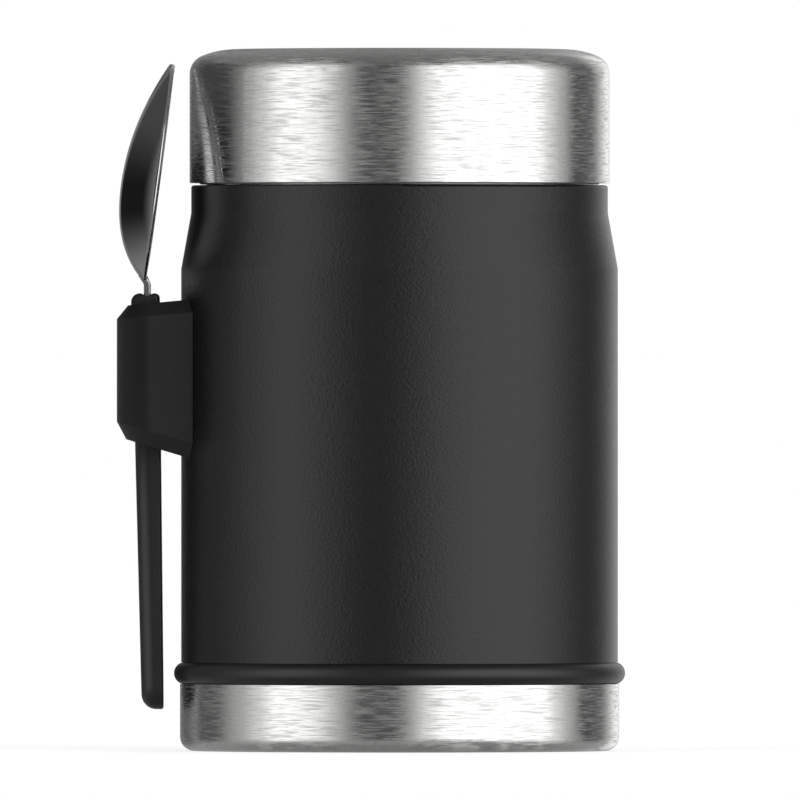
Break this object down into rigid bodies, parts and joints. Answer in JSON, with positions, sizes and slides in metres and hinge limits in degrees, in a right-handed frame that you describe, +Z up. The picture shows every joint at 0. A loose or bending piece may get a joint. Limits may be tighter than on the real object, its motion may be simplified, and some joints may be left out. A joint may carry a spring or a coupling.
{
  "type": "insulated food jar",
  "caption": "Double-wall insulated food jar with a screw-on steel cup lid, an inner stopper with a vent button, and a spork that slides into a moulded side holder.",
  "frame": {"origin": "centre of the base, on the surface the jar stands on", "axes": "+Z up along the jar axis, -X towards the spoon holder, +Y to the back"},
  "size_m": [0.1087, 0.0964, 0.15],
  "materials": {
    "coated_shell": "fine-textured black powder coat",
    "bare_steel": "satin stainless",
    "brushed_band": "stainless brushed round its axis",
    "polished_steel": "polished stainless",
    "black_plastic": "smooth matte moulded",
    "grey_plastic": "moulded polypropylene",
    "dark_plastic": "moulded polypropylene",
    "trim_rubber": "smooth",
    "silicone": "translucent grey",
    "foam": "closed-cell foam",
    "getter_metal": "sintered"
  },
  "bodies": {
    "jar": {"outer_shell": "coated_shell", "inner_liner": "bare_steel", "shell_bottom": "bare_steel", "getter": "getter_metal", "base_cup": "brushed_band", "base_ring": "trim_rubber", "spoon_holder": "black_plastic", "holder_plate": "bare_steel"},
    "stopper_ring": {"stopper_gasket": "silicone"},
    "stopper_core": {"stopper_foam": "foam"},
    "stopper": {"stopper_body": "dark_plastic", "stopper_cover": "dark_plastic", "vent_spring": "bare_steel"},
    "vent": {"vent_button": "grey_plastic", "vent_seal": "silicone"},
    "lid_ring": {"lid_gasket": "silicone"},
    "lid_core": {"lid_foam": "foam"},
    "lid": {"lid_shell": "brushed_band", "lid_liner": "grey_plastic"},
    "spork": {"spork_bowl": "polished_steel", "spork_handle": "black_plastic"}
  },
  "joints": [
    {"name": "stopper_lift", "type": "slide", "parent": "jar", "child": "stopper_ring", "axis": [0, 0, 1], "range_m": [0, 0.045]},
    {"name": "stopper_rise", "type": "slide", "parent": "stopper_ring", "child": "stopper_core", "axis": [0, 0, 1], "range_m": [0, 0.005]},
    {"name": "stopper_turn", "type": "hinge", "parent": "stopper_core", "child": "stopper", "pos_m": [0, 0, 0.131], "axis": [0, 0, 1], "range_deg": [0, 450]},
    {"name": "vent_press", "type": "slide", "parent": "stopper", "child": "vent", "axis": [0, 0, -1], "range_m": [0, 0.0025], "stiffness_N_per_m": 400, "springref_m": -0.003, "deforming": ["vent_spring"]},
    {"name": "lid_lift", "type": "slide", "parent": "stopper", "child": "lid_ring", "axis": [0, 0, 1], "range_m": [0, 0.045]},
    {"name": "lid_rise", "type": "slide", "parent": "lid_ring", "child": "lid_core", "axis": [0, 0, 1], "range_m": [0, 0.005]},
    {"name": "lid_turn", "type": "hinge", "parent": "lid_core", "child": "lid", "pos_m": [0, 0, 0.1214], "axis": [0, 0, 1], "range_deg": [0, 450]},
    {"name": "spork_lift", "type": "slide", "parent": "jar", "child": "spork", "axis": [0, 0, 1], "range_m": [0, 0.092]}
  ],
  "couplings": [
    {"joint": "stopper_rise", "follows": "stopper_turn", "m_per_rad": 0.00063662},
    {"joint": "lid_rise", "follows": "lid_turn", "m_per_rad": 0.00063662}
  ]
}
